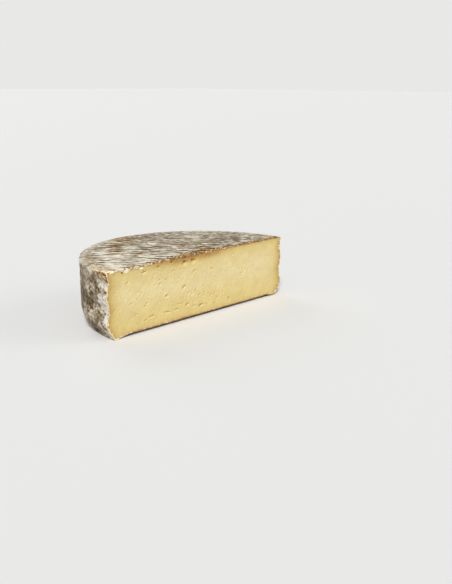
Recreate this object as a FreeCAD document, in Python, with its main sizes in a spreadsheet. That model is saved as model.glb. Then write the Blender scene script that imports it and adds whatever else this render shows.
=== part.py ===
"""Half wheel of a pressed mountain cheese with a natural grey rind, cut straight across its middle.

Millimetres, +Z up. The cut face is upright and looks along -Y, the rim lies behind it, and the wheel stands
on its foot. The origin is the centre of the underside of the half wheel's box.

The whole wheel is drawn as closed outlines stacked from the foot to the shoulder and lofted into one skin,
because a cheese pressed in cloth and turned by hand is never quite round: its foot slumps, its shoulder
stands out past the middle of the rim, and near the cut the rim has dried into ripples. The underside is
hollowed, a knife takes the front half away, and the cut opens the eyes in the paste.
"""

import FreeCAD
import Part

import math
import os

# The driving dimensions. Each one becomes a cell of the sheet under its own name.
SIZES = {
    "diameter": 205.0,  # across the belly of the whole wheel
    "height": 55.0,  # from the foot to the upper face
    "foot_reach": 4.0,  # how far the slumped foot runs in under the belly
    "foot_rise": 15.0,  # how high the slump of the foot climbs
    "shoulder_reach": 3.1,  # how far the rounding of the shoulder runs in
    "shoulder_drop": 3.5,  # how far down the rounding of the shoulder begins
    "rim_lean": 1.0,  # how far the shoulder stands out past the middle of the rim, and the foot back
    "ripple_depth": 1.0,  # how far the rim swells and sinks near the cut, where it has dried unevenly
    "ripple_pitch": 22.0,  # height from one ripple to the next
    "lobe_depth": 0.5,  # how far the plan departs from a true circle
    "rest_width": 2.0,  # width of the band that the wheel stands on
    "hollow_blend": 10.0,  # width of the slope from that band into the hollow underside
    "hollow_depth": 2.0,  # how far the middle of the underside is sunk
    "eye_width": 2.8,  # width of the largest eye in the paste
    "eye_height": 2.2,  # height of the largest eye
    "eye_depth": 1.3,  # how deep the largest eye goes into the paste
}

# How many outlines are stacked over each stretch of the rim, and how many points lie on each outline.
FOOT_LEVELS = 3
BELLY_LEVELS = 6
SHOULDER_LEVELS = 3
OUTLINE_POINTS = 24

SEAM = -math.pi / 2  # each outline starts in front, in the half that the knife takes away
LOBES = 3  # bulges in the plan of the whole wheel
LOBE_PHASE = math.pi / 2  # where the first bulge lies, in radians round the wheel
FOOT_SWAY = 0.25  # how much more the foot slumps at the sides than at the back
RIPPLE_CREST = 13.0  # height of the lowest ripple, in millimetres
RIPPLE_REACH = 8  # the higher this power, the closer the ripples keep to the sides of the wheel

# Eyes that the knife opened: place along the cut as a share of the radius, place up the cut as a share of the
# height, and size as a share of the largest eye.
EYES = (
    (-0.64, 0.86, 0.90),
    (-0.63, 0.15, 0.60),
    (-0.41, 0.43, 0.85),
    (-0.40, 0.18, 0.80),
    (-0.22, 0.50, 1.00),
    (-0.21, 0.88, 1.00),
    (-0.18, 0.22, 0.90),
    (-0.10, 0.71, 0.60),
    (-0.02, 0.15, 0.85),
    (0.11, 0.69, 0.55),
    (0.19, 0.33, 0.70),
    (0.34, 0.58, 0.80),
    (0.47, 0.20, 0.90),
    (0.58, 0.77, 0.65),
    (0.69, 0.42, 0.85),
    (0.83, 0.64, 0.60),
)


def make_sheet(doc):
    """The spreadsheet with the driving dimensions, one alias to a row."""
    sheet = doc.addObject("Spreadsheet::Sheet", "Sizes")
    for row, (name, value) in enumerate(SIZES.items(), start=1):
        sheet.set(f"A{row}", name)
        sheet.set(f"B{row}", str(value))
        sheet.setAlias(f"B{row}", name)
    doc.recompute()
    return sheet


def rim_levels(sheet):
    """Heights of the outlines, from the foot up over the belly to the shoulder."""
    shoulder_start = sheet.height - sheet.shoulder_drop
    foot = [sheet.foot_rise * step / FOOT_LEVELS for step in range(FOOT_LEVELS)]
    belly_step = (shoulder_start - sheet.foot_rise) / BELLY_LEVELS
    belly = [sheet.foot_rise + belly_step * step for step in range(BELLY_LEVELS)]
    turns = [math.pi / 2 * step / SHOULDER_LEVELS for step in range(SHOULDER_LEVELS + 1)]
    return foot + belly + [shoulder_start + sheet.shoulder_drop * math.sin(turn) for turn in turns]


def rim_radius(sheet, turn, height):
    """Distance of the rim from the wheel's axis at a turn round the wheel and a height."""
    foot_share = max(0.0, 1 - height / sheet.foot_rise)
    foot_inset = sheet.foot_reach * (1 + FOOT_SWAY * math.cos(2 * turn)) * foot_share**2
    shoulder_share = max(0.0, 1 - (sheet.height - height) / sheet.shoulder_drop)
    shoulder_inset = sheet.shoulder_reach * (1 - math.sqrt(max(0.0, 1 - shoulder_share**2)))
    near_side = math.cos(turn) ** RIPPLE_REACH
    ripple = math.cos(2 * math.pi * (height - RIPPLE_CREST) / sheet.ripple_pitch)
    lean = 2 * height / sheet.height - 1
    swell = near_side * sheet.ripple_depth * ripple + (1 - near_side) * sheet.rim_lean * lean
    lobe = sheet.lobe_depth * math.cos(LOBES * turn + LOBE_PHASE)
    return sheet.diameter / 2 + swell + lobe - foot_inset - shoulder_inset


def make_outline(doc, sheet, number, height):
    """One closed outline of the wheel, a spline right round the rim."""
    points = []
    for step in range(OUTLINE_POINTS):
        turn = SEAM + 2 * math.pi * step / OUTLINE_POINTS
        radius = rim_radius(sheet, turn, height)
        points.append(FreeCAD.Vector(radius * math.cos(turn), radius * math.sin(turn), height))
    rim = Part.BSplineCurve()
    rim.interpolate(points, PeriodicFlag=True)
    outline = doc.addObject("Part::Feature", f"Outline{number}")
    outline.Shape = Part.Wire([rim.toShape()])
    return outline


def make_wheel(doc, sheet):
    """The whole wheel, before it is hollowed and cut."""
    wheel = doc.addObject("Part::Loft", "Wheel")
    levels = enumerate(rim_levels(sheet))
    wheel.Sections = [make_outline(doc, sheet, number, height) for number, height in levels]
    wheel.Solid = True
    wheel.Ruled = False
    return wheel


def make_knife(doc):
    """The block that the knife takes away: everything in front of the middle of the wheel."""
    block = doc.addObject("Part::Box", "Knife")
    block.setExpression("Length", "2 * Sizes.diameter * 1mm")
    block.setExpression("Width", "Sizes.diameter * 1mm")
    block.setExpression("Height", "3 * Sizes.height * 1mm")
    block.setExpression("Placement.Base.x", "-Sizes.diameter * 1mm")
    block.setExpression("Placement.Base.y", "-Sizes.diameter * 1mm")
    block.setExpression("Placement.Base.z", "-Sizes.height * 1mm")
    return block


def make_hollow(doc):
    """The shallow dish that leaves the wheel standing on a band along its foot."""
    dish = doc.addObject("Part::Cone", "Hollow")
    foot_reach = f"{1 + FOOT_SWAY} * Sizes.foot_reach"
    foot_edge = f"Sizes.diameter / 2 - {foot_reach} - Sizes.rim_lean - Sizes.lobe_depth"
    dish.setExpression("Radius1", f"({foot_edge} - Sizes.rest_width) * 1mm")
    dish.setExpression("Radius2", f"({foot_edge} - Sizes.rest_width - Sizes.hollow_blend) * 1mm")
    dish.setExpression("Height", "Sizes.hollow_depth * 1mm")
    return dish


def make_eyes(doc):
    """The eyes as ellipsoids centred on the cut face, so that each leaves half of itself as a pit."""
    eyes = []
    for number, (along, up, share) in enumerate(EYES):
        eye = doc.addObject("Part::Ellipsoid", f"Eye{number}")
        eye.setExpression("Radius1", f"Sizes.eye_height / 2 * {share} * 1mm")
        eye.setExpression("Radius2", f"Sizes.eye_width / 2 * {share} * 1mm")
        eye.setExpression("Radius3", f"Sizes.eye_depth * {share} * 1mm")
        eye.setExpression("Placement.Base.x", f"Sizes.diameter / 2 * {along} * 1mm")
        eye.setExpression("Placement.Base.z", f"Sizes.height * {up} * 1mm")
        eyes.append(eye)
    pits = doc.addObject("Part::Compound", "Eyes")
    pits.Links = eyes
    return pits


def cut(doc, name, base, tool):
    """base with tool taken out of it."""
    made = doc.addObject("Part::Cut", name)
    made.Base = base
    made.Tool = tool
    return made


def centre_on_box(doc, piece):
    """Moves the piece so that the origin is at the centre of the underside of its box."""
    box = piece.Shape.optimalBoundingBox(False, False)
    piece.Placement.Base = FreeCAD.Vector(-box.Center.x, -box.Center.y, -box.ZMin)
    doc.recompute()


def check(doc, parts):
    """Stops the script if an object failed or a sub-part isn't one valid solid."""
    for obj in doc.Objects:
        if "Invalid" in obj.State or "Error" in obj.State:
            raise RuntimeError(f"{obj.Name} failed: {obj.State}")
    for part in parts:
        if part.Shape.isNull() or not part.Shape.isValid() or len(part.Shape.Solids) != 1:
            raise RuntimeError(f"{part.Label} isn't one valid solid")


def main():
    doc = FreeCAD.newDocument("HalfWheel")
    sheet = make_sheet(doc)
    wheel = cut(doc, "HollowedWheel", make_wheel(doc, sheet), make_hollow(doc))
    half = cut(doc, "Half", wheel, make_knife(doc))
    half_wheel = cut(doc, "HalfWheel", half, make_eyes(doc))
    half_wheel.Label = "half_wheel"
    doc.recompute()
    centre_on_box(doc, half_wheel)
    check(doc, [half_wheel])
    os.makedirs("parts", exist_ok=True)
    for part in [half_wheel]:
        part.Shape.exportStep(f"parts/{part.Label}.step")
        box = part.Shape.optimalBoundingBox(False, False)
        print(part.Label, "volume", round(part.Shape.Volume), "mm3, moved by", part.Placement.Base)
        print("box", box)


main()
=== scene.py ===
"""Looks of a half wheel of mountain cheese: a dry mottled rind, marked by the mat it ripened on, round pale
paste that the knife has just opened.

Shapes are worked out in millimetres about the wheel's axis, with Y = 0 in the plane of the cut and Z = 0 on
the floor, and become metres when a mesh is made. X runs along the cut. The rind is a closed skin with
relief on its outside and a torn lip along the cut. The paste is a closed core whose cut face carries the
eyes, slits and knife marks. Marks are noise read at the points of a mesh, each kind with its own seed.
"""

import math

import bpy
import numpy as np
from mathutils import Matrix, Vector


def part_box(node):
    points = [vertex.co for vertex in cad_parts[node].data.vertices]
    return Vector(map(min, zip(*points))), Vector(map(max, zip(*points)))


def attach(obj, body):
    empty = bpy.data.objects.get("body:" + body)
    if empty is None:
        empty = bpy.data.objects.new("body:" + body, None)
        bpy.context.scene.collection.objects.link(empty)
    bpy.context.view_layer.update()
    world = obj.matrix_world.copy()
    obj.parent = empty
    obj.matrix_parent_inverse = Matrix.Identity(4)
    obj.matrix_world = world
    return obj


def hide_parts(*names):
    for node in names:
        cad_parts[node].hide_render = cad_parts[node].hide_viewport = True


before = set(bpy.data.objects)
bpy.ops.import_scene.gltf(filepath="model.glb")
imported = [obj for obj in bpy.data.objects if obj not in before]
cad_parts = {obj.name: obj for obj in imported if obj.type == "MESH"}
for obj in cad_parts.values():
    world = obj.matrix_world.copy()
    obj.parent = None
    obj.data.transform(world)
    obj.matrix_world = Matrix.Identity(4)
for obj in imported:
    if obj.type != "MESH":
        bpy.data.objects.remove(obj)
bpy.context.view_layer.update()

MM = 0.001  # one millimetre in metres
TINY = 1e-6  # a length in millimetres that is as good as none

# The wheel's form, as the solid has it.
RIPPLE_DEPTH = 1.0
RIPPLE_PITCH = 22.0
RIPPLE_CREST = 13.0
RIPPLE_REACH = 8
RIM_LEAN = 1.0
LOBE_DEPTH = 0.5
LOBES = 3
LOBE_PHASE = math.pi / 2
FOOT_REACH = 4.0
FOOT_RISE = 15.0
FOOT_SWAY = 0.25
SHOULDER_REACH = 3.1
SHOULDER_DROP = 3.5
REST_EDGE = 94.0  # inner edge of the band that the wheel stands on
HOLLOW_BLEND = 10.0
HOLLOW_DEPTH = 2.0

low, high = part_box("half_wheel")
CUT_Y = low.y / MM
HEIGHT = high.z / MM
RADIUS = (high.x - low.x) / 2 / MM - RIPPLE_DEPTH
MIDDLE = HEIGHT / 2
SPINE = RADIUS - MIDDLE  # the middle line of the body ends this far either side of the axis


# ------ noise

GRADIENTS = np.random.default_rng(11).normal(size=(256, 3))
GRADIENTS /= np.linalg.norm(GRADIENTS, axis=1, keepdims=True)
JITTER = np.random.default_rng(12).random((256, 3))

# Large odd numbers, which send neighbouring cells and seeds far apart.
CELL_FACTORS = (73856093, 19349663, 83492791)
SEED_FACTOR = 2654435761
LAST_FACTOR = 1274126177

NOISE_GAIN = 1.6  # brings the noise out to about -1 and 1
LATTICE_SHIFT = 0.37  # keeps the lattice off the planes of the cut and the floor
CLOUD_REACH = 1.4  # how much further noise in layers reaches than one layer


def scrambled(cells, seed):
    """A repeatable number from 0 to 255 for each whole-numbered cell."""
    x, y, z = (cells.astype(np.int64) * CELL_FACTORS).T
    mixed = x ^ y ^ z ^ (seed * SEED_FACTOR)
    mixed = (mixed ^ (mixed >> 13)) * LAST_FACTOR
    return (mixed ^ (mixed >> 16)) & 255


def noise(points, size, seed):
    """Smooth noise from about -1 to 1 whose lumps are size millimetres across, or one size to each axis."""
    scaled = points / np.asarray(size, float) + LATTICE_SHIFT
    cell = np.floor(scaled)
    inside = scaled - cell
    ease = inside * inside * inside * (inside * (inside * 6 - 15) + 10)
    total = np.zeros(len(points))
    for corner in np.ndindex(2, 2, 2):
        corner = np.array(corner)
        slope = GRADIENTS[scrambled(cell + corner, seed)]
        weight = np.prod(np.where(corner, ease, 1 - ease), axis=1)
        total += weight * np.sum(slope * (inside - corner), axis=1)
    return total * NOISE_GAIN


def cloudy(points, size, seed, layers=3):
    """Noise with finer and fainter noise laid over it."""
    total = sum(noise(points, size / 2**layer, seed + layer) / 2**layer for layer in range(layers))
    return total / CLOUD_REACH


def spotted(points, size, seed):
    """Distance to the nearest of the spots that lie scattered one to a cell of that size, in cells."""
    scaled = points / size
    cell = np.floor(scaled)
    nearest = np.full(len(points), np.inf)
    for corner in np.ndindex(3, 3, 3):
        there = cell + np.array(corner) - 1
        spot = there + JITTER[scrambled(there, seed)]
        nearest = np.minimum(nearest, np.linalg.norm(scaled - spot, axis=1))
    return nearest


def step(start, end, value):
    """0 at start and short of it, 1 at end and past it, and smooth between. Start may be the higher one."""
    share = np.clip((value - start) / (end - start), 0, 1)
    return share * share * (3 - 2 * share)


def hump(away, width):
    """1 where away is 0, and fading to nothing within about two widths either side."""
    return np.exp(-((away / width) ** 2))


def turned(points, angle, first, second):
    """Points as they lie in a frame turned by that angle from the first axis towards the second."""
    made = points.copy()
    made[:, first] = points[:, first] * math.cos(angle) + points[:, second] * math.sin(angle)
    made[:, second] = points[:, second] * math.cos(angle) - points[:, first] * math.sin(angle)
    return made


# ------ the wheel's form

PROFILE_TURN = math.radians(140)  # where the profile that spaces the rows of the rim is taken
PROFILE_SAMPLES = 2000


def rim_radius(turn, height):
    """Distance of the rim from the wheel's axis, as in the solid."""
    foot_share = np.maximum(0, 1 - height / FOOT_RISE)
    foot_inset = FOOT_REACH * (1 + FOOT_SWAY * np.cos(2 * turn)) * foot_share**2
    shoulder_share = np.maximum(0, 1 - (HEIGHT - height) / SHOULDER_DROP)
    shoulder_inset = SHOULDER_REACH * (1 - np.sqrt(np.maximum(0, 1 - shoulder_share**2)))
    near_side = np.cos(turn) ** RIPPLE_REACH
    ripple = np.cos(2 * math.pi * (height - RIPPLE_CREST) / RIPPLE_PITCH)
    lean = 2 * height / HEIGHT - 1
    swell = near_side * RIPPLE_DEPTH * ripple + (1 - near_side) * RIM_LEAN * lean
    lobe = LOBE_DEPTH * np.cos(LOBES * turn + LOBE_PHASE)
    return RADIUS + swell + lobe - foot_inset - shoulder_inset


def underside(distance):
    """Height of the hollow underside at a distance from the wheel's axis."""
    return HOLLOW_DEPTH * np.clip((REST_EDGE - distance) / HOLLOW_BLEND, 0, 1)


def inland(points):
    """How far points of the top lie in from the rounding of the shoulder, in millimetres."""
    return RADIUS - SHOULDER_REACH - np.hypot(points[:, 0], points[:, 1])


def rim_heights(spacing):
    """Heights of the rows of points up the rim, evenly spaced along its profile."""
    heights = HEIGHT * (1 - np.cos(np.linspace(0, math.pi, PROFILE_SAMPLES))) / 2
    radii = rim_radius(PROFILE_TURN, heights)
    run = np.concatenate([[0], np.cumsum(np.hypot(np.diff(heights), np.diff(radii)))])
    rows = np.linspace(0, run[-1], max(6, round(run[-1] / spacing)))
    return np.interp(rows, run, heights)


def half_turn(columns):
    """Turns from the left end of the cut round the back to its right end."""
    return np.linspace(math.pi, 0, columns + 1)


def steps_round(spacing):
    """How many steps of about that spacing go round the back."""
    return round(math.pi * RADIUS / spacing)


def half_rings(spacing, height):
    """Half rings of a face, out from its middle to just inside its border, as turns and radii."""
    rings = round(RADIUS / spacing)
    for ring in range(1, rings):
        turns = half_turn(max(2, round(steps_round(spacing) * ring / rings)))
        yield turns, rim_radius(turns, height) * ring / rings


def skin_rows(spacing, under_spacing):
    """Rows over the skin, as turns, radii and heights: out over the top, down the rim and in under it."""
    for turns, radii in half_rings(spacing, HEIGHT):
        yield turns, radii, np.full(len(turns), HEIGHT)
    turns = half_turn(steps_round(spacing))
    for height in rim_heights(spacing)[::-1]:
        yield turns, rim_radius(turns, height), np.full(len(turns), height)
    for turns, radii in reversed(list(half_rings(under_spacing, 0.0))):
        yield turns, radii, underside(radii)


def stitched(first, first_place, second, second_place):
    """Triangles between two rows of points, each with a rising place along its row from 0 to 1."""
    first_step = (first_place[:-1] + first_place[1:]) / 2
    second_step = (second_place[:-1] + second_place[1:]) / 2
    order = np.argsort(np.concatenate([first_step, second_step]), kind="stable")
    from_first = order < len(first_step)
    at_first = np.concatenate([[0], np.cumsum(from_first)])
    at_second = np.concatenate([[0], np.cumsum(~from_first)])
    corner_a = first[at_first[:-1]]
    corner_b = second[at_second[:-1]]
    corner_c = np.where(from_first, first[at_first[1:]], second[at_second[1:]])
    return np.stack([corner_a, corner_b, corner_c], axis=1)


def fan(middle, row):
    """Triangles from a point to a row of points."""
    return np.stack([np.full(len(row) - 1, middle), row[:-1], row[1:]], axis=1)


def skin(spacing, under_spacing):
    """The wheel's surface behind the cut: points, triangles and the loop of points that lie in the cut."""
    points, rows, places = [], [], []
    count = 0
    for turns, radii, heights in skin_rows(spacing, under_spacing):
        points.append(np.stack([radii * np.cos(turns), radii * np.sin(turns), heights], axis=1))
        rows.append(np.arange(count, count + len(turns)))
        places.append(1 - turns / math.pi)
        count += len(turns)
    points.append(np.array([[0, 0, HEIGHT], [0, 0, HOLLOW_DEPTH]]))
    top_middle, under_middle = count, count + 1
    faces = [stitched(*pair) for pair in zip(rows, places, rows[1:], places[1:])]
    faces += [fan(top_middle, rows[0]), fan(under_middle, rows[-1])]
    left = [row[0] for row in rows]
    right = [row[-1] for row in rows]
    loop = np.array([top_middle, *right, under_middle, *left[::-1]])
    return np.concatenate(points), np.concatenate(faces), loop


def loop_place(points):
    """Place of points of the cut's outline round it, from 0 to 1, starting at the middle of the top."""
    angle = np.arctan2(points[:, 0] / RADIUS, (points[:, 2] - MIDDLE) / MIDDLE)
    return np.mod(angle, 2 * math.pi) / (2 * math.pi)


def opened(points, loop):
    """A loop as a row that ends where it starts, turned so that its places rise, and those places."""
    place = loop_place(points[loop])
    ahead = np.mod(np.roll(place, -1) - place + 0.5, 1) - 0.5
    if ahead.sum() < 0:
        loop, place = loop[::-1], place[::-1]
    first = np.argmin(place)
    loop, place = np.roll(loop, -first), np.roll(place, -first)
    return np.append(loop, loop[0]), np.append(np.maximum.accumulate(place), place[0] + 1)


def bridged(points, outer, inner):
    """Triangles between two loops in the plane of the cut."""
    return stitched(*opened(points, outer), *opened(points, inner))


def inward(points):
    """Unit steps from points of the surface towards the middle line of the body."""
    reach = np.hypot(points[:, 0], points[:, 1])
    kept = np.minimum(reach, SPINE) / np.maximum(reach, TINY)
    spine = np.stack([points[:, 0] * kept, points[:, 1] * kept, np.full(len(points), MIDDLE)], axis=1)
    steps = spine - points
    return steps / np.maximum(np.linalg.norm(steps, axis=1, keepdims=True), TINY)


def outward_normals(points, faces):
    """Normals at the points, kept in the plane of the cut for points that lie in it."""
    corners = points[faces]
    across = np.cross(corners[:, 1] - corners[:, 0], corners[:, 2] - corners[:, 0])
    facing = np.einsum("ij,ij->i", across, -inward(corners.mean(axis=1)))
    across *= np.sign(facing)[:, None]
    normals = np.zeros_like(points)
    for corner in range(3):
        np.add.at(normals, faces[:, corner], across)
    normals[np.abs(points[:, 1]) < TINY, 1] = 0
    return normals / np.maximum(np.linalg.norm(normals, axis=1, keepdims=True), TINY)


SHARP_EDGE = math.radians(62)  # edges that bend more than this are shaded sharp


def placed(name, data):
    """A new object of the scene, with that data."""
    made = bpy.data.objects.new(name, data)
    bpy.context.scene.collection.objects.link(made)
    return made


def mesh_piece(name, points, faces, fields, material):
    """An object from points in millimetres about the wheel's axis, with a value at each for every field."""
    in_row_frame = (points + np.array([0, CUT_Y, 0])) * MM
    mesh = bpy.data.meshes.new(name)
    mesh.vertices.add(len(points))
    mesh.vertices.foreach_set("co", in_row_frame.astype(np.float32).ravel())
    mesh.loops.add(faces.size)
    mesh.loops.foreach_set("vertex_index", faces.astype(np.int32).ravel())
    mesh.polygons.add(len(faces))
    mesh.polygons.foreach_set("loop_start", np.arange(0, faces.size, 3, dtype=np.int32))
    mesh.update(calc_edges=True)
    for field, values in fields.items():
        attribute = mesh.attributes.new(field, "FLOAT", "POINT")
        attribute.data.foreach_set("value", values.astype(np.float32))
    mesh.validate()
    bpy.ops.object.select_all(action="DESELECT")
    piece = placed(name, mesh)
    bpy.context.view_layer.objects.active = piece
    piece.select_set(True)
    bpy.ops.object.mode_set(mode="EDIT")
    bpy.ops.mesh.select_all(action="SELECT")
    bpy.ops.mesh.normals_make_consistent(inside=False)
    bpy.ops.object.mode_set(mode="OBJECT")
    mesh.shade_smooth()
    mesh.set_sharp_from_angle(angle=SHARP_EDGE)
    mesh.materials.append(material)
    return piece


# ------ relief and colour of the rind

RIND_FIELDS = ("tone", "warm", "bloom", "flat")  # dark to pale, browning, white mould, and flat face or rim
RIM_STRETCH = 1.5  # marks on the rim are this much longer round the wheel than up it

STRAW_ANGLE = math.radians(-46.8)  # the mat's straws lay along this direction over the top
GROOVE_OFFSET = 2.5  # from a crest to the groove that the straw beside it left, which is also painted darker as shade
WRINKLE_TURN = np.array([[0.45, -0.89, 0], [0.89, 0.45, 0], [0, 0, 1]])  # wrinkles climb the rim steeply

# Families of broken lines: how far apart they are, how long, how much is missing, and a seed.
WIDE_STRAWS = {"pitch": 8.2, "length": 15, "gaps": -0.12, "seed": 101}
FINE_STRAWS = {"pitch": 4.9, "length": 10, "gaps": 0.0, "seed": 111}
WRINKLES = {"pitch": 29, "length": 17, "gaps": 0.12, "seed": 141}

# Patches on the top: along the cut, back from it and reach, in millimetres.
WHITE_PATCHES = (
    (-68, 39, 14), (-85, 14, 10), (-36, 50, 8), (-10, 60, 10), (-24, 12, 6), (41, 58, 9), (-62, 64, 7),
)
OCHRE_PATCHES = (
    (-46, 57, 8), (-33, 75, 8), (-10, 91, 14), (-42, 34, 6), (14, 12, 9), (-78, 52, 5), (8, 36, 7),
)
DEEPEST, HIGHEST = -1.6, 1.1  # limits of the relief


def unrolled(points, stretch=1.0):
    """The rim laid out flat, with X round the wheel, shortened by stretch, and Y up it."""
    turn = np.arctan2(points[:, 1], points[:, 0])
    return np.stack([turn * RADIUS / stretch, points[:, 2], np.zeros(len(points))], axis=1)


def broken_lines(local, width, pitch, length, gaps, seed):
    """Swaying, broken lines along X: 1 on a line and 0 away from it. Each row reads noise of its own, and
    its line is there where that noise stays above gaps."""
    x, y, _ = local.T
    sway = 1.6 * noise(local, (42, 20, 40), seed) + 0.16 * pitch * noise(local, (9, 5, 9), seed + 1)
    across = (y + sway) / pitch
    row = np.floor(across)
    middle = 0.5 + 0.22 * noise(np.stack([x, row * 9.7, row], axis=1), (8, 3, 3), seed + 2)
    there = noise(np.stack([x, row * 7.3, row * 3.1], axis=1), (length, 2, 2), seed + 3)
    return hump((across - row - middle) * pitch, width) * step(gaps - 0.16, gaps + 0.16, there)


def mat_marks(points):
    """Relief in millimetres, tone and browning of the straw marks on the flat faces: strong on the near
    left of the top, faint towards its far right and along its border. Crests are painted paler, partly as
    painted highlight, and the grooves beside them and the hollows darker, partly as painted shade and
    partly as brown crust."""
    x, y, _ = points.T
    local = turned(points, STRAW_ANGLE, 0, 1)
    near = step(70, -70, x + 0.45 * y)
    border = step(12, 4, inland(points))
    strong = 0.46 + 0.6 * near + 0.5 * noise(points, 27, seed=22) + 0.35 * noise(points, 11, seed=23)
    strong = np.clip(strong, 0.15, 1.35) * (1 - 0.75 * border)

    crests = broken_lines(local, 1.35, **WIDE_STRAWS)
    crests = np.maximum(crests, 0.75 * broken_lines(local, 0.95, **FINE_STRAWS))
    beside = local + np.array([0, GROOVE_OFFSET, 0])
    grooves = broken_lines(beside, 1.2, **WIDE_STRAWS) * step(-0.35, 0.15, noise(local, 12, seed=102))
    grooves = np.maximum(grooves, 0.85 * broken_lines(beside, 0.85, **FINE_STRAWS))
    threads = noise(local, (5, 1.3, 4), seed=24)
    fibres = noise(local, (7, 2.5, 4), seed=29)
    mottle = noise(points, 3.0, seed=25) + 0.7 * noise(points, 1.5, seed=26)
    hollows = step(0.12, 0.45, noise(local, (9, 3.2, 5), seed=27))

    relief = strong * (0.5 * crests - 0.45 * grooves - 0.22 * hollows)
    relief += 0.16 * fibres + 0.12 * threads + 0.08 * mottle
    tone = 0.43 + 0.05 * near - 0.12 * near * (1 - near)
    # Crests painted paler are partly painted highlight; grooves and hollows painted darker are partly
    # painted shade over the real relief.
    tone += strong * (0.62 * crests - 0.8 * grooves - 0.22 * hollows)
    tone += (0.36 - 0.14 * near) * fibres + (0.29 - 0.14 * near) * threads
    tone += (0.26 - 0.09 * near + 0.1 * border) * mottle
    tone += (0.16 + 0.06 * near) * cloudy(points, 22, seed=28, layers=2)
    brown = strong * (grooves * (1 - crests) + 0.5 * hollows)
    return relief, tone, brown


def crust_marks(points):
    """Relief in millimetres, tone and browning of the crust on the rim: cloudy pale bloom over leathery
    brown, with dents, wrinkles, pits, cream flecks and streaks along the foot and under the shoulder."""
    _, y, z = points.T
    around = unrolled(points)
    laid = unrolled(points, RIM_STRETCH)
    rough = np.clip(np.exp(-y / 30) + step(0.0, 0.5, noise(laid, 20, seed=41)), 0.15, 1)
    dents = noise(laid, 17, seed=30)
    lumps = noise(laid, 9, seed=31)
    clods = noise(laid, 4, seed=32)
    grains = noise(laid, 1.9, seed=33)
    dust = noise(laid, 1.2, seed=34)
    bloom = step(0.0, 0.45, cloudy(laid, 12, seed=42, layers=4))
    pits = step(0.44, 0.22, spotted(laid + 0.9 * dust[:, None], 2.6, seed=36)) * step(0.25, 0.8, rough)
    flecks = step(0.42, 0.25, spotted(laid, 2.4, seed=43)) * step(0.22, 0.5, noise(laid, 14, seed=44))
    slanted = around @ WRINKLE_TURN
    wrinkles = broken_lines(slanted, 0.75, **WRINKLES)
    swollen = broken_lines(slanted, 2.6, **WRINKLES)
    low_band = step(14, 4, z)
    foot_streaks = noise(around, (9, 1.6, 1), seed=39) * low_band
    hung = noise(around, (1.7, 9, 1), seed=45) * step(16, 4, HEIGHT - z)

    relief = 0.35 * dents + 0.32 * lumps + 0.2 * clods + rough * (0.28 * grains + 0.16 * dust)
    relief += 0.25 * bloom + 0.25 * swollen + 0.25 * flecks
    relief += 0.22 * foot_streaks + 0.12 * hung - 0.5 * pits - 0.75 * wrinkles
    tone = 0.36 + 0.18 * cloudy(points, 24, seed=40, layers=2) + 0.1 * lumps + 0.12 * clods
    tone += 0.3 * bloom + (0.08 + 0.24 * rough) * (grains + dust) + 0.35 * flecks
    tone += 0.34 * foot_streaks + 0.14 * hung - 0.1 * low_band - 0.4 * pits - 0.3 * wrinkles
    brown = np.clip(0.9 * flecks + 0.4 * wrinkles - 0.3 * bloom, -0.3, 1)
    return relief, tone, brown


def patches(points, places):
    """1 inside any of the patches and 0 outside, with ragged edges."""
    x, y, _ = points.T
    ragged = 0.4 * noise(points, 6, seed=70) + 0.25 * noise(points, 2.5, seed=71)
    mask = np.zeros(len(points))
    for middle_x, middle_y, reach in places:
        away = np.hypot(x - middle_x, y - middle_y) / reach + ragged
        mask = np.maximum(mask, step(1.2, 0.5, away))
    return mask


def peeled_corner(points, laid, flat):
    """Where the white mould is rubbed off: high on the rim by the left end of the cut."""
    x, y, z = points.T
    depth = 10 - 0.3 * y
    mask = step(depth + 3, depth - 3, HEIGHT - z) * hump(y, 24) * step(-80, -95, x)
    return mask * (1 - 0.6 * flat) * step(-0.9, -0.2, noise(laid, 5, seed=68))


def cotton(points, laid):
    """White mould like cotton on the rim, thick beside the cut and thin at the foot."""
    _, y, z = points.T
    mask = step(0.0, 0.35, cloudy(laid, 7, seed=52) + 0.6 * np.exp(-y / 9) - 0.12)
    mask *= (0.75 + 0.5 * noise(laid, 1.6, seed=55)) * np.exp(-y / 40)
    return mask * (1 - 0.7 * step(15, 7, z))


def bare_straw_marks(points):
    """Dry white patches on the top, more of them towards its left end."""
    strewn = 0.5 * step(0.05, 0.5, cloudy(points, 15, seed=54) + 0.3 * step(10, -75, points[:, 0]) - 0.12)
    return np.maximum(strewn, patches(points, WHITE_PATCHES))


def ochre(points, flat):
    """Ochre patches on the top and the rim."""
    strewn = step(0.1, 0.6, cloudy(points, 19, seed=53)) * (1 - 0.6 * flat)
    return np.maximum(strewn, 1.3 * patches(points, OCHRE_PATCHES) * flat)


def crack_line(points, drop):
    """A fine crack round the rim, under the shoulder."""
    sway = 0.8 * noise(points, 9, seed=57)
    return hump(drop - 4.2 - sway, 0.5) * step(-0.1, 0.3, noise(points, 15, seed=58))


def brim(points, drop):
    """A cream line along the top's edge, by the left end of the cut."""
    x, y, _ = points.T
    line = hump(drop - 0.5, 0.45) * step(-0.5, 0.1, noise(points, 4, seed=88))
    return line * hump(y, 30) * step(-84, -94, x)


def browned_margin(points, drop):
    """The strip of the top inside that line, where the crust is worn brown."""
    x, y, _ = points.T
    return step(9, 3, inland(points)) * step(45, 25, y) * step(-80, -88, x) * step(5, 2, drop)


def browned_band(points):
    """The band of brown crust on the top beside the cut, which leaves its left end free."""
    x, y, _ = points.T
    width = 4 + 3 * noise(points, 7, seed=65) + 4 * step(-34, -14, x) * step(45, 12, x)
    return step(-64, -50, x) * step(1.6, 0.3, y / np.maximum(width, 1.5))


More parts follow.
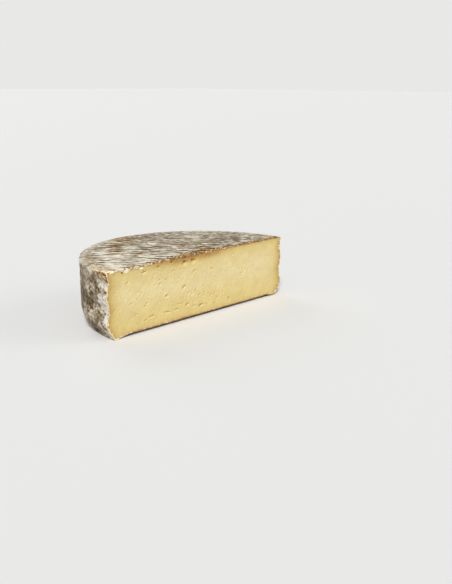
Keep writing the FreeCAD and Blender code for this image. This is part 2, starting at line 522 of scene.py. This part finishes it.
class Marks:
    """What the marks come to at each point: relief in millimetres, tone from dark to pale, and browning."""

    def __init__(self, relief, tone, warm):
        self.relief = relief
        self.tone = tone
        self.warm = warm

    def add(self, mask, relief=0.0, tone=0.0, warm=0.0):
        """Adds a mark that is there as far as its mask says."""
        self.relief = self.relief + mask * relief
        self.tone = self.tone + mask * tone
        self.warm = self.warm + mask * warm


def rind_fields(points, normals):
    """Relief in millimetres, and the fields that colour the rind."""
    x, y, z = points.T
    drop = HEIGHT - z
    laid = unrolled(points, RIM_STRETCH)
    flat = step(0.45, 0.9, np.abs(normals[:, 2]))
    rim = 1 - flat
    under = step(0, -0.5, normals[:, 2])
    mat, mat_tone, mat_brown = mat_marks(points)
    crust, crust_tone, crust_brown = crust_marks(points)
    marks = Marks(
        relief=flat * mat * (1 - 0.3 * under) + rim * crust,
        tone=flat * mat_tone + rim * crust_tone,
        warm=0.45 * flat * mat_brown + rim * crust_brown,
    )

    peeled = peeled_corner(points, laid, flat)
    white = cotton(points, laid) * rim * (1 - peeled)
    bare = bare_straw_marks(points) * flat
    marks.add(white, relief=0.3, tone=0.6)
    marks.add(bare, relief=0.1, tone=0.26)
    marks.add(rim * np.exp(-y / 9), tone=0.28)  # the rim is paler beside the cut

    # Along the shoulder: a worn ridge, the ledge inside it and a crack below it, brown beside the cut.
    shoulder = hump(drop - 1.2, 1.8) * rim
    ledge = step(4.9, 0.9, inland(points)) * flat * (1 - under)
    by_cut = (0.15 + 0.85 * np.exp(-y / 14)) * step(-0.4, 0.3, noise(points, 7, seed=60))
    marks.add(shoulder, relief=0.3 * (0.6 + noise(points, 6, seed=59)), tone=0.2, warm=0.6 * by_cut)
    marks.add(ledge, tone=0.1, warm=0.5 * by_cut)
    marks.add(crack_line(points, drop) * rim, relief=-0.4, tone=-0.35)

    # The corner by the left end of the cut: rubbed bare, under a cream line with a brown margin inside it.
    rubbed_tone = 0.52 + 0.6 * noise(points, 1.7, seed=67)
    rubbed_relief = 0.5 * noise(laid, 2, seed=66) - 0.3
    marks.add(peeled, relief=rubbed_relief, tone=rubbed_tone - marks.tone, warm=0.6)
    marks.add(brim(points, drop), relief=0.4, tone=0.5, warm=-0.35)
    margin = browned_margin(points, drop)
    marks.add(margin * flat, tone=0.35 * noise(points, 1.9, seed=89) - 0.08)
    marks.add(margin, warm=0.4 * (0.6 + noise(points, 3, seed=90)))

    brown = ochre(points, flat)
    marks.add(brown, tone=-0.1 * flat, warm=0.5)
    speckle = noise(points, 1.7, seed=69)
    marks.add(browned_band(points), tone=(1.1 * speckle - 0.12) * flat, warm=1.05 - 0.25 * speckle)

    # Along the foot of the cut, the lip is browned and spotted.
    low_edge = step(5, 2, z) * np.exp(-y / 2) * step(-92, -84, x)
    spots = step(-0.1, 0.2, noise(points, 1.9, seed=91))
    marks.add(low_edge, tone=-0.1 - 0.3 * spots, warm=0.6 + 0.45 * spots)

    # Where the knife passed, the crust is chipped and shows its pale inside.
    chips = np.exp(-y / 0.9) * step(-0.1, 0.35, noise(points, 2.4, seed=61))
    marks.add(chips, relief=-0.4, tone=0.22, warm=0.4)

    relief = np.clip(marks.relief, DEEPEST, HIGHEST) * np.where(under > 0.5, 0.5, 1.0)
    fields = (marks.tone, marks.warm, np.maximum(0.8 * white, bare), flat)
    return relief, {name: np.clip(values, 0, 1) for name, values in zip(RIND_FIELDS, fields)}


# ------ materials


def srgb(red, green, blue):
    """A shader colour from the 0 to 255 values it shows at."""
    def linear(value):
        value /= 255
        return value / 12.92 if value <= 0.04045 else ((value + 0.055) / 1.055) ** 2.4
    return (linear(red), linear(green), linear(blue), 1.0)


# Ramps of colour, each stop's place before its colour. The crust runs from its pits to its crests, on the
# rim and on the top, its section from the outside in, and the paste from darker clouds to paler ones.
RIM_RAMP = {
    0.0: (54, 43, 29), 0.22: (92, 78, 57), 0.45: (138, 123, 98), 0.7: (186, 176, 157),
    1.0: (232, 226, 213),
}
TOP_RAMP = {
    0.0: (72, 60, 43), 0.22: (116, 103, 82), 0.48: (167, 157, 137), 0.7: (203, 195, 176),
    1.0: (244, 239, 225),
}
SECTION_RAMP = {
    0.0: (150, 126, 92), 0.1: (222, 206, 168), 0.3: (242, 232, 198), 0.6: (230, 212, 162),
    1.0: (204, 177, 115),
}
PASTE_RAMP = {0.3: (210, 190, 138), 0.5: (222, 204, 152), 0.7: (231, 216, 166)}

# Tints, which the colour under them is multiplied by.
WARM_TINT = srgb(250, 220, 174)
BROWN_TINT = srgb(240, 212, 166)
MOULD_TINT = srgb(244, 248, 252)
RIPE_TINT = srgb(248, 243, 218)

CUT_THROUGH = 0.001  # points this far into the crust, or further, show its section
DARK_SECTION = srgb(120, 82, 38)
LIGHT_SECTION = srgb(194, 144, 74)
PASTE_EDGE = srgb(186, 150, 76)
PASTE_BROWN = srgb(164, 116, 48)
# Painted shade in the upper part of each eye, and the brown inside of the eyes under the top.
EYE_SHADE_AND_BROWN = srgb(158, 110, 42)


class Nodes:
    """Short ways to add nodes to a material."""

    def __init__(self, name):
        self.material = bpy.data.materials.new(name)
        self.material.use_nodes = True
        self.tree = self.material.node_tree
        self.shader = self.tree.nodes["Principled BSDF"]

    def add(self, kind, **settings):
        node = self.tree.nodes.new(kind)
        for name, value in settings.items():
            setattr(node, name, value)
        return node

    def link(self, source, target):
        self.tree.links.new(source, target)

    def feed(self, sockets, values):
        """Gives each socket its value, or links it where the value is another node's output."""
        for socket, value in zip(sockets, values):
            if isinstance(value, (int, float, tuple)):
                socket.default_value = value
            else:
                self.link(value, socket)

    def shaded(self, **inputs):
        """The material, once the shader's inputs have these values. A _ in a name stands for a space."""
        sockets = [self.shader.inputs[name.replace("_", " ")] for name in inputs]
        self.feed(sockets, inputs.values())
        return self.material

    def field(self, name):
        return self.add("ShaderNodeAttribute", attribute_name=name).outputs["Fac"]

    def maths(self, operation, first, second=0.0, third=0.0, clamp=False):
        node = self.add("ShaderNodeMath", operation=operation, use_clamp=clamp)
        self.feed(node.inputs, (first, second, third))
        return node.outputs[0]

    def line(self, value, slope, start, clamp=False):
        """value times slope plus start."""
        return self.maths("MULTIPLY_ADD", value, slope, start, clamp)

    def ramp(self, value, stops):
        node = self.add("ShaderNodeValToRGB")
        elements = node.color_ramp.elements
        while len(elements) < len(stops):
            elements.new(0.5)
        for element, (place, colour) in zip(elements, stops.items()):
            element.position = place
            element.color = srgb(*colour)
        self.link(value, node.inputs["Fac"])
        return node.outputs["Color"]

    def mix(self, share, first, second, kind="MIX"):
        node = self.add("ShaderNodeMix", data_type="RGBA", blend_type=kind)
        self.feed((node.inputs[0], node.inputs[6], node.inputs[7]), (share, first, second))
        return node.outputs[2]

    def tinted(self, share, colour, tint):
        """The colour, multiplied by a tint as far as share says."""
        return self.mix(share, colour, self.mix(1.0, colour, tint, "MULTIPLY"))

    def noise(self, size, detail, stretch=None, turn=0.0):
        """Noise whose lumps are size millimetres across, or stretched along axes turned about Z."""
        place = self.add("ShaderNodeTexCoord").outputs["Object"]
        if stretch:
            mapping = self.add("ShaderNodeMapping", vector_type="TEXTURE")
            mapping.inputs["Rotation"].default_value = (0, 0, turn)
            mapping.inputs["Scale"].default_value = stretch
            self.link(place, mapping.inputs["Vector"])
            place = mapping.outputs["Vector"]
        node = self.add("ShaderNodeTexNoise")
        node.inputs["Scale"].default_value = 1 / (size * MM)
        node.inputs["Detail"].default_value = detail
        self.link(place, node.inputs["Vector"])
        return node.outputs["Fac"]

    def bump(self, height, distance, strength, below=None):
        """Fine relief, distance millimetres high, over what is below it."""
        node = self.add("ShaderNodeBump")
        node.inputs["Strength"].default_value = strength
        node.inputs["Distance"].default_value = distance * MM
        self.link(height, node.inputs["Height"])
        if below is not None:
            self.link(below, node.inputs["Normal"])
        return node.outputs["Normal"]


def rind_material():
    """Dry crust, dark in the pits and pale on the crests, on the top partly as painted shade and highlight,
    browned and tinted by white mould, and cream or brown where it is cut through."""
    n = Nodes("dry_rind")
    flat = n.field("flat")
    browning = n.field("warm")
    inside = n.field("inside")
    mottle = n.noise(1.9, 4)
    grit = n.noise(0.8, 3)
    straws = n.noise(0.75, 3, (5, 1, 1), STRAW_ANGLE)

    # Grit on the rim, which turns into fine straw marks on the flat faces.
    speck = n.line(n.maths("MULTIPLY", flat, 0.65), n.maths("SUBTRACT", straws, grit), grit)
    tone = n.line(mottle, 0.5, n.maths("SUBTRACT", n.field("tone"), 0.25))
    tone = n.line(speck, 0.6, n.maths("SUBTRACT", tone, 0.3), clamp=True)
    crust = n.mix(flat, n.ramp(tone, RIM_RAMP), n.ramp(tone, TOP_RAMP))
    crust = n.tinted(browning, crust, WARM_TINT)
    crust = n.tinted(n.line(browning, 2.6, -2.05, clamp=True), crust, BROWN_TINT)
    mould = n.maths("MULTIPLY", n.field("bloom"), n.line(mottle, 1.8, -0.55, clamp=True))
    crust = n.tinted(mould, crust, MOULD_TINT)

    depth = n.line(speck, 0.5, n.maths("SUBTRACT", inside, 0.25), clamp=True)
    browned = n.line(browning, 2.2, -1.3, clamp=True)
    section = n.mix(browned, n.ramp(depth, SECTION_RAMP), n.mix(speck, DARK_SECTION, LIGHT_SECTION))
    colour = n.mix(n.maths("GREATER_THAN", inside, CUT_THROUGH), crust, section)
    roughness = n.line(mottle, 0.18, 0.72)
    coarse = n.bump(n.noise(0.9, 4), 0.5, 0.7)
    normal = n.bump(n.noise(0.3, 3), 0.16, 0.7, coarse)
    return n.shaded(Base_Color=colour, Roughness=roughness, Specular_IOR_Level=0.25, Normal=normal)


def paste_material():
    """Moist pale paste, deeper in colour under the rind and browner under the top, where the deeper colour
    reaches further down partly as painted shade. The upper part of each eye is painted darker as shade, and
    brown in the eyes under the top.
    """
    n = Nodes("cut_paste")
    cloud = n.noise(13, 3)
    grain = n.noise(1.5, 3)
    colour = n.ramp(n.line(grain, 0.35, n.line(cloud, 0.4, 0.125)), PASTE_RAMP)
    colour = n.tinted(n.field("ripe"), colour, RIPE_TINT)
    colour = n.mix(n.field("edge"), colour, PASTE_EDGE)
    colour = n.mix(n.field("brown"), colour, PASTE_BROWN)
    colour = n.mix(n.field("eye_shade_and_brown"), colour, EYE_SHADE_AND_BROWN)
    normal = n.bump(n.noise(0.8, 3), 0.14, 0.6)
    return n.shaded(Base_Color=colour, Roughness=0.5, Specular_IOR_Level=0.3, Normal=normal)


# ------ the rind

RIND_SPACING = 0.71  # between the points over the outside of the rind, in millimetres
RIND_UNDER_SPACING = 2.2  # and under it
RIND_BACK_SPACING = 5.0  # over its hidden inside
RIND_BACK_EDGE = 1.2  # how far behind the cut the hidden inside ends
LIP_DEPTHS = (0.25, 0.5, 0.8, 1.1, 1.5, 2.0, 2.8)  # rows across the rind's thickness, from the outside in
RIND_THICKNESS = LIP_DEPTHS[-1]


def lip_stand(points, depth):
    """How far behind the plane of the cut the rind's torn lip lies: it stands a little proud of the cut by
    the outside, sinks behind the paste further in, and ends well inside it."""
    width = 1.1 + 0.5 * noise(points, 5, seed=62) + 0.5 * noise(points, 1.8, seed=63)
    proud = 0.12 + 0.34 * noise(points, 1.3, seed=64)
    sunk_in = (proud + 0.35) * step(0.6, 1.25, depth / np.maximum(width, 0.3))
    return -proud + sunk_in + 0.6 * step(1.6, 2.8, depth)


def extended(fields, number, more):
    """Fields with that many more points, from an array for each field or one value for them all."""
    return {name: np.append(old, np.broadcast_to(more[name], number)) for name, old in fields.items()}


def make_rind():
    """The rind as a closed skin: its marked outside, rows across its torn lip, its inside, and crumbs."""
    outside, faces, loop = skin(RIND_SPACING, RIND_UNDER_SPACING)
    normals = outward_normals(outside, faces)
    relief, fields = rind_fields(outside, normals)
    fields["inside"] = np.zeros(len(outside))
    shown = outside + normals * relief[:, None]
    shown[:, 2] = np.maximum(shown[:, 2], 0)
    parts, triangles = [shown], [faces]
    count = len(shown)

    lip_fields = {name: fields[name][loop] for name in RIND_FIELDS}
    steps_in = inward(outside[loop])
    last = loop
    ring = np.append(np.arange(len(loop)), 0)
    place = np.linspace(0, 1, len(ring))
    for depth in LIP_DEPTHS:
        made = shown[loop] + steps_in * depth
        made[:, 1] = lip_stand(made, depth)
        here = np.arange(count, count + len(loop))
        triangles.append(stitched(last[ring], place, here[ring], place))
        fields = extended(fields, len(loop), {**lip_fields, "inside": depth / RIND_THICKNESS})
        parts.append(made)
        count += len(loop)
        last = here

    back, back_faces, back_loop = skin(RIND_BACK_SPACING, RIND_BACK_SPACING)
    back = back + inward(back) * RIND_THICKNESS
    back[back_loop, 1] = RIND_BACK_EDGE
    everything = np.concatenate([*parts, back])
    triangles.append(back_faces + count)
    triangles.append(bridged(everything, last, back_loop + count))
    fields = extended(fields, len(back), {**dict.fromkeys(RIND_FIELDS, 0), "inside": 1})

    crumb_points, crumb_faces, crumb_fields = crumbs()
    triangles.append(crumb_faces + len(everything))
    fields = extended(fields, len(crumb_points), crumb_fields)
    everything = np.concatenate([everything, crumb_points])
    return mesh_piece("rind", everything, np.concatenate(triangles), fields, rind_material())


# ------ crumbs of the rind

# Tone, browning and share of the cream inside for each kind of crumb.
CRUMB_LOOKS = {
    "white": (0.95, 0.05, 0.0),
    "pale": (0.78, 0.45, 0.0),
    "cream": (0.9, 0.3, 0.35),
    "brown": (0.3, 0.9, 0.0),
}

# Large flakes along the left half of the top edge: along the cut, up from the floor, half length and half
# height in millimetres, tilt in degrees, and look.
FLAKES = (
    (-99.0, 54.2, 3.0, 1.4, 6, "cream"),
    (-95.2, 54.6, 1.5, 1.1, -8, "brown"),
    (-92.4, 54.4, 1.8, 1.2, 12, "pale"),
    (-88.2, 54.4, 2.8, 1.8, 8, "white"),
    (-83.6, 53.2, 2.9, 1.9, 15, "cream"),
    (-87.4, 52.5, 1.2, 0.8, -20, "brown"),
    (-77.2, 54.8, 1.5, 1.0, 0, "brown"),
    (-72.6, 54.2, 2.6, 1.3, -12, "pale"),
    (-69.0, 52.5, 2.8, 0.9, 10, "cream"),
    (-66.2, 54.5, 1.5, 0.8, 0, "brown"),
    (-60.6, 54.4, 1.8, 1.0, 5, "pale"),
    (-57.0, 54.5, 1.6, 0.9, 5, "cream"),
    (-48.5, 54.5, 1.5, 0.9, -6, "pale"),
)
FLAKE_BACK = 0.5  # how far behind the cut the middle of a flake lies
FLAKE_HALF_DEPTH = 0.9
CRUMBS = 430
CRUMB_REACH = 99  # crumbs lie up to this far either side of the axis
UNDER_SHARE = 0.93  # and under the cheese, this share of it
UPRIGHT_FROM = 96  # beyond this, where the rim is, crumbs stand upright
CRUMB_RISE = 0.9  # none stands higher than this above the top
FLAKE_DIVISIONS, CRUMB_DIVISIONS = 3, 2


def top_crumb(rng, along):
    """A crumb on the top edge of the cut: place, size and look."""
    where = (along, rng.uniform(-0.2, 1.0), HEIGHT - 0.2)
    size = rng.uniform(0.3, 1.0) ** 1.5 + 0.25
    pale_share = 0.8 if along < -62 else 0.28
    return where, size, "pale" if rng.random() < pale_share else "brown"


def band_crumb(rng, _):
    """A crumb on the brown band behind the middle of that edge."""
    where = (rng.uniform(-60, 30), rng.uniform(0.8, 6.0), HEIGHT)
    return where, rng.uniform(0.35, 0.85), rng.choice(["brown", "brown", "pale"])


def side_crumb(rng, _):
    """A crumb down one of the upright edges of the cut."""
    up = rng.uniform(2, HEIGHT - 1)
    turn = rng.choice([0.0, math.pi])
    reach = rim_radius(turn, up) - rng.uniform(0.2, 1.6)
    where = (reach * math.cos(turn), rng.uniform(-0.1, 0.5), up)
    return where, rng.uniform(0.3, 0.8), rng.choice(["cream", "cream", "white", "pale"])


def foot_crumb(rng, along):
    """A crumb on the lower edge of the cut."""
    x = UNDER_SHARE * along
    where = (x, rng.uniform(-0.1, 0.4), underside(abs(x)) + rng.uniform(0.4, 1.2))
    return where, rng.uniform(0.25, 0.6), rng.choice(["cream", "cream", "pale", "brown"])


# Kinds of crumb, each with the share of all crumbs that it and those before it make up.
CRUMB_LOTS = ((0.4, top_crumb), (0.58, band_crumb), (0.8, side_crumb), (1.0, foot_crumb))


def crumb_places(rng):
    """Place, half sizes, tilt and look of each crumb."""
    for _ in range(CRUMBS):
        lot = rng.random()
        along = rng.uniform(-CRUMB_REACH, CRUMB_REACH)
        kind = next(kind for share, kind in CRUMB_LOTS if lot < share)
        where, size, look = kind(rng, along)
        half = size * rng.uniform((0.9, 0.5, 0.4), (1.7, 0.9, 0.7))
        if abs(where[0]) > UPRIGHT_FROM:
            half = half[::-1]
        yield where, half, rng.uniform(-30, 30), look


def crumb_form(divisions):
    """A unit ball to shape crumbs from: its points and triangles."""
    bpy.ops.mesh.primitive_ico_sphere_add(subdivisions=divisions, radius=1)
    ball = bpy.context.object
    points = np.array([vertex.co[:] for vertex in ball.data.vertices])
    faces = np.array([polygon.vertices[:] for polygon in ball.data.polygons])
    bpy.data.objects.remove(ball)
    return points, faces


def crumbs():
    """Crumbs of crust that the knife left standing along the edge of the cut, half sunk into it: points,
    triangles and fields."""
    rng = np.random.default_rng(31)
    places = [
        ((along, FLAKE_BACK, up), (length, FLAKE_HALF_DEPTH, height), tilt, look)
        for along, up, length, height, tilt, look in FLAKES
    ]
    places += crumb_places(rng)
    forms = [crumb_form(FLAKE_DIVISIONS)] * len(FLAKES) + [crumb_form(CRUMB_DIVISIONS)] * CRUMBS
    parts, triangles = [], []
    fields = {name: np.zeros(0) for name in (*RIND_FIELDS, "inside")}
    count = 0
    for number, ((where, half, tilt, look), (ball, faces)) in enumerate(zip(places, forms)):
        own = ball + 10 * number  # a stretch of the noise of its own
        rough = 0.35 * noise(own, 0.9, seed=81) + 0.12 * noise(own, 0.3, seed=87)
        rough += 0.5 * (spotted(own, 0.7, seed=85) - 0.45)
        lean = Matrix.Rotation(math.radians(-tilt), 3, "Y")
        turn = lean @ Matrix.Rotation(rng.uniform(-0.5, 0.5), 3, "Z")
        made = ball * (1 + rough[:, None]) * half @ np.array(turn).T + where
        made[:, 2] = np.clip(made[:, 2], 0.0, HEIGHT + CRUMB_RISE)
        parts.append(made)
        triangles.append(faces + count)
        count += len(ball)
        tone, warm, inside = CRUMB_LOOKS[look]
        tone = tone + rng.uniform(-0.12, 0.12) + 0.2 * noise(made, 0.8, seed=86)
        looks = {"tone": tone, "warm": warm, "bloom": 0, "flat": 1, "inside": inside}
        fields = extended(fields, len(made), looks)
    return np.concatenate(parts), np.concatenate(triangles), fields


# ------ the paste

FACE_COLUMNS, FACE_ROWS = 520, 140  # points along the cut face and up it
PASTE_INSET = 0.9  # how far the paste lies in under the outside of the rind
FOOT_INSET = 5  # how far in from the belly the foot of the cut ends
PASTE_BACK_SPACING = 4.0
PASTE_BACK_EDGE = 0.6  # how far behind the cut the paste's hidden back ends
KNIFE_SLANT = math.radians(58)  # the knife was drawn down at this slant

# Eyes and slits of the cut face: along the cut, up from the floor, half length, half height and depth in
# millimetres, and tilt in degrees.
EYES = (
    (-41.6, 24.8, 1.25, 1.1, 1.2, 20), (-22.0, 28.6, 1.7, 1.3, 1.2, 35), (-18.5, 13.0, 1.7, 1.2, 1.1, 30),
    (-1.6, 9.2, 2.2, 1.2, 1.0, 15), (5.2, 8.9, 0.7, 0.6, 1.0, 0), (-35.8, 52.2, 1.4, 1.1, 1.1, 0),
    (-21.2, 48.9, 2.4, 2.0, 1.4, 15), (-10.8, 49.2, 2.2, 1.9, 1.1, 25), (-65.4, 48.6, 2.8, 1.1, 0.5, 4),
    (-86.0, 49.8, 0.6, 0.5, 0.5, 0), (-50.2, 50.3, 0.9, 1.2, 0.6, 0), (-9.8, 40.5, 2.6, 0.7, 0.6, 25),
    (11.5, 39.2, 1.2, 0.9, 0.8, 30), (-64.1, 9.4, 1.3, 0.8, 0.6, 10), (-57.9, 11.1, 3.4, 0.9, 0.5, 3),
    (-41.0, 11.1, 3.0, 0.8, 0.5, -3), (-30.4, 11.4, 3.8, 0.7, 0.45, 2), (-64.7, 21.1, 1.2, 0.8, 0.5, 10),
    (-16.6, 22.9, 1.0, 0.8, 0.7, 40), (-8.5, 23.6, 0.9, 0.7, 0.7, 30), (-4.1, 18.9, 1.0, 0.8, 0.8, 30),
    (7.1, 17.3, 1.2, 0.8, 0.8, 30), (10.0, 16.1, 0.8, 0.7, 0.7, 20), (14.6, 17.1, 1.1, 0.8, 0.8, 20),
    (15.2, 31.1, 0.9, 0.7, 0.7, 40), (32.7, 9.2, 1.4, 0.8, 0.8, 20), (14.6, 7.9, 0.9, 0.6, 0.7, 10),
)
EYE_GROWTH = 1.2  # an eye opens this much wider than its row says
TEARS = 110  # small tears that the knife left over the cut face
TEAR_SWARMS = ((-68, 30), (-8, 17), (8, 16), (52, 30), (-40, 40))  # along the cut and up it
SWARM_SPREAD = (11, 6)


def small_tears():
    """The small tears, as rows like those of EYES: two in three lie in a few loose swarms."""
    rng = np.random.default_rng(41)
    for number in range(TEARS):
        if number % 3:
            along, up = rng.normal(TEAR_SWARMS[number % len(TEAR_SWARMS)], SWARM_SPREAD)
        else:
            along, up = rng.uniform(-96, 96), rng.uniform(6, 50)
        size = rng.uniform(0.35, 0.8)
        yield along, up, size * rng.uniform(1, 2.2), size, rng.uniform(0.15, 0.4), rng.uniform(0, 60)


def sunk(points, along, up, half_length, half_height, depth, tilt):
    """How far each point of the cut face is sunk by one eye, and how far it lies in the eye's upper, deeper
    part, which is painted darker as shade. An eye is deepest under its upper edge, and its lower edge is a
    burr that the knife raised."""
    local = turned(points - (along, 0, up), math.radians(tilt), 0, 2)
    ahead = local[:, 0] / (half_length * EYE_GROWTH)
    aside = local[:, 2] / (half_height * EYE_GROWTH)
    out = ahead**2 + aside**2
    near = out < 6  # where noise bends the eye's outline
    out[near] *= 1 + 0.5 * noise(points[near], 1.1, seed=78) + 0.45 * noise(points[near], 2.6, seed=79)
    bowl = np.sqrt(np.maximum(0, 1 - out))
    lean = np.clip(0.85 + 0.5 * aside, 0.35, 1.35)
    burr = hump(np.sqrt(out) - 1.12, 0.2) * step(0.2, -0.8, aside)
    sink = 1.9 * depth * bowl * lean - (0.04 + 0.17 * depth) * burr
    return sink, step(1.0, 0.6, out) * step(0.0, 0.6, aside)


def eye_marks(points):
    """Depth of the eyes and tears in millimetres, and how far each point lies in the upper part of one,
    where painted shade and brown go.
    """
    depth = np.zeros(len(points))
    eye_shade_and_brown = np.zeros(len(points))
    for eye in (*EYES, *small_tears()):
        sink, inside = sunk(points, *eye)
        depth = np.where(np.abs(sink) > np.abs(depth), sink, depth)
        eye_shade_and_brown = np.maximum(eye_shade_and_brown, inside)
    return depth, eye_shade_and_brown


def knife_marks(points):
    """Swell, drag marks, a fine seam and torn grain on the cut face, in millimetres inwards."""
    x, _, z = points.T
    drag = turned(points, KNIFE_SLANT, 0, 2)
    marks = 0.2 * noise(points, 17, seed=71) + 0.14 * noise(points, 5.5, seed=72)
    marks += 0.11 * noise(drag, (8, 5, 1.7), seed=73) + 0.1 * noise(points, 2.4, seed=74)
    marks += 0.05 * noise(points, 1.3, seed=77)
    seam = hump(z - 33.2 - 0.7 * noise(points, 14, seed=83), 0.55)
    seam *= step(-100, -92, x) * step(-52, -66, x)
    torn = hump(x + 76, 9) * hump(z - 31, 4.5)
    return marks + 0.3 * torn * noise(points, (2.4, 1, 1.3), seed=84) - 0.12 * seam


def fading(distance, length):
    """1 within a millimetre of the rind, and fading over that length beyond."""
    return np.exp(-np.maximum(distance - 1, 0) / length)


def paste_fields(points, reach, foot):
    """Depth behind the plane of the cut in millimetres, and the masks that colour the paste."""
    x, _, z = points.T
    from_side = reach - np.abs(x)
    from_top = HEIGHT - z
    depth, eye_shade_and_brown = eye_marks(points)
    # The zone under the middle of the top where the paste is browner. There the deeper yellow edge also
    # reaches further down, partly real browning and partly painted shade.
    browned = (0.3 * step(-68, -56, x) + 0.7 * step(-60, -18, x)) * step(44, -2, x)
    edge = np.maximum.reduce([
        0.95 * fading(from_side, 3.6),
        0.7 * fading(from_top, 2.4 + 2.6 * browned),
        0.45 * fading(z - foot, 2.2),
    ])
    brown = browned * step(7.5, 1.0, from_top + 1.6 * noise(points, 7, seed=75))
    brown *= 0.9 + 0.4 * noise(points, 2.6, seed=76)
    pale_middle = hump(z - 33, 14) * step(2, 18, from_side)
    ripe = 1 - pale_middle * (0.9 + 0.2 * noise(points, 12, seed=82))
    # The upper part of each eye gets painted shade, faint away from the top and strong under it, where the
    # eyes are also brown.
    eye_shade_and_brown *= 0.28 + 0.6 * step(9, 3.5, from_top)
    fields = {"edge": edge, "ripe": np.clip(ripe, 0, 1), "brown": np.clip(brown, 0, 1), "eye_shade_and_brown": eye_shade_and_brown}
    return fields, depth + knife_marks(points)


def make_paste():
    """The paste as a closed core: a grid of points over the cut face, and a plain back under the rind."""
    along, up = np.meshgrid(np.linspace(-1, 1, FACE_COLUMNS), np.linspace(0, 1, FACE_ROWS))
    along, up = along.ravel(), up.ravel()
    foot = underside(np.abs(along) * (RADIUS - FOOT_INSET))
    heights = foot + PASTE_INSET + (HEIGHT - 2 * PASTE_INSET - foot) * up
    side = np.where(along < 0, math.pi, 0.0)
    reach = rim_radius(side, heights) - PASTE_INSET
    face = np.stack([along * reach, np.zeros(len(along)), heights], axis=1)
    face_fields, depth = paste_fields(face, reach, foot)
    face[:, 1] = depth

    indices = np.arange(len(face)).reshape(FACE_ROWS, FACE_COLUMNS)
    a, b, c, d = indices[:-1, :-1], indices[:-1, 1:], indices[1:, 1:], indices[1:, :-1]
    flip = (np.indices(a.shape).sum(axis=0) % 2).astype(bool)[..., None]
    first = np.where(flip, np.stack([a, b, c], -1), np.stack([a, b, d], -1)).reshape(-1, 3)
    second = np.where(flip, np.stack([a, c, d], -1), np.stack([b, c, d], -1)).reshape(-1, 3)
    border = np.concatenate([indices[0], indices[1:, -1], indices[-1, -2::-1], indices[-2:0:-1, 0]])

    back, back_faces, back_loop = skin(PASTE_BACK_SPACING, PASTE_BACK_SPACING)
    back = back + inward(back) * PASTE_INSET
    back[back_loop, 1] = PASTE_BACK_EDGE
    everything = np.concatenate([face, back])
    joined = bridged(everything, back_loop + len(face), border)
    fields = extended(face_fields, len(back), dict.fromkeys(face_fields, 0))
    faces = np.concatenate([first, second, back_faces + len(face), joined])
    return mesh_piece("paste", everything, faces, fields, paste_material())


# ------ stage

FLOOR_SIZE = 30  # in metres
FLOOR_COLOUR = (0.76, 0.76, 0.75, 1)
BACKDROP_COLOUR = (0.81, 0.81, 0.80, 1)
SOFT_LIGHT = 0.27
LAMP_TARGET = (0, 0, 0.02)

# Lamps: where each shines from, how wide it looks in degrees, and its strength.
LAMPS = {
    "key": ((-0.95, -0.85, 1.25), 14, 2.8),
    "fill": ((1.2, -1.1, 0.7), 40, 0.55),
    "back": ((0.3, 1.4, 0.9), 40, 0.6),
}

# Where the camera stands from the middle of the foot of the cut, in metres, how it is turned, in degrees,
# and its lens, in millimetres.
CAMERA_PLACE = (-0.4614, -0.4601, 0.1948)
CAMERA_HEADING = -46.83
CAMERA_DIP = 14.96
CAMERA_ROLL = 0.39
LENS = 48.7


def make_floor():
    """A plain pale floor."""
    material = Nodes("plain_floor").shaded(Base_Color=FLOOR_COLOUR, Roughness=0.9)
    bpy.ops.mesh.primitive_plane_add(size=FLOOR_SIZE)
    floor = bpy.context.object
    floor.name = "floor"
    floor.data.materials.append(material)


def make_backdrop():
    """A world that lights the object softly and shows as a plain pale backdrop."""
    world = bpy.data.worlds.new("studio")
    bpy.context.scene.world = world
    world.use_nodes = True
    tree = world.node_tree
    light = tree.nodes["Background"]
    light.inputs["Color"].default_value = (1, 1, 1, 1)
    light.inputs["Strength"].default_value = SOFT_LIGHT
    backdrop = tree.nodes.new("ShaderNodeBackground")
    backdrop.inputs["Color"].default_value = BACKDROP_COLOUR
    path = tree.nodes.new("ShaderNodeLightPath")
    seen = path.outputs["Is Camera Ray"]
    for ray in ("Is Glossy Ray", "Is Transmission Ray"):
        either = tree.nodes.new("ShaderNodeMath")
        either.operation = "MAXIMUM"
        tree.links.new(seen, either.inputs[0])
        tree.links.new(path.outputs[ray], either.inputs[1])
        seen = either.outputs[0]
    mix = tree.nodes.new("ShaderNodeMixShader")
    tree.links.new(seen, mix.inputs[0])
    tree.links.new(light.outputs[0], mix.inputs[1])
    tree.links.new(backdrop.outputs[0], mix.inputs[2])
    tree.links.new(mix.outputs[0], tree.nodes["World Output"].inputs["Surface"])


def aimed(spot, target):
    """A place at spot with -Z towards target."""
    spot, target = Vector(spot), Vector(target)
    turn = (target - spot).to_track_quat("-Z", "Y")
    return Matrix.Translation(spot) @ turn.to_matrix().to_4x4()


def make_lamps():
    """A soft key lamp from the left, a fill from the right and one from behind."""
    for name, (spot, softness, strength) in LAMPS.items():
        lamp = bpy.data.lights.new(name, "SUN")
        lamp.angle = math.radians(softness)
        lamp.energy = strength
        placed(name, lamp).matrix_world = aimed(spot, LAMP_TARGET)


def make_camera():
    """A camera that sees the half wheel as the photograph does."""
    camera = bpy.data.cameras.new("camera")
    camera.lens = LENS
    camera.clip_end = 50
    holder = placed("camera", camera)
    place = Matrix.Translation(Vector(CAMERA_PLACE) + Vector((0, low.y, 0)))
    heading = Matrix.Rotation(math.radians(CAMERA_HEADING), 4, "Z")
    dip = Matrix.Rotation(math.radians(90 - CAMERA_DIP), 4, "X")
    roll = Matrix.Rotation(math.radians(CAMERA_ROLL), 4, "Z")
    holder.matrix_world = place @ heading @ dip @ roll
    bpy.context.scene.camera = holder


make_floor()
make_backdrop()
make_lamps()
make_camera()
rind = make_rind()
paste = make_paste()
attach(rind, "root")
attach(paste, "root")
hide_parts("half_wheel")
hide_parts("half_wheel")

bpy.context.scene.view_settings.view_transform = "Standard"
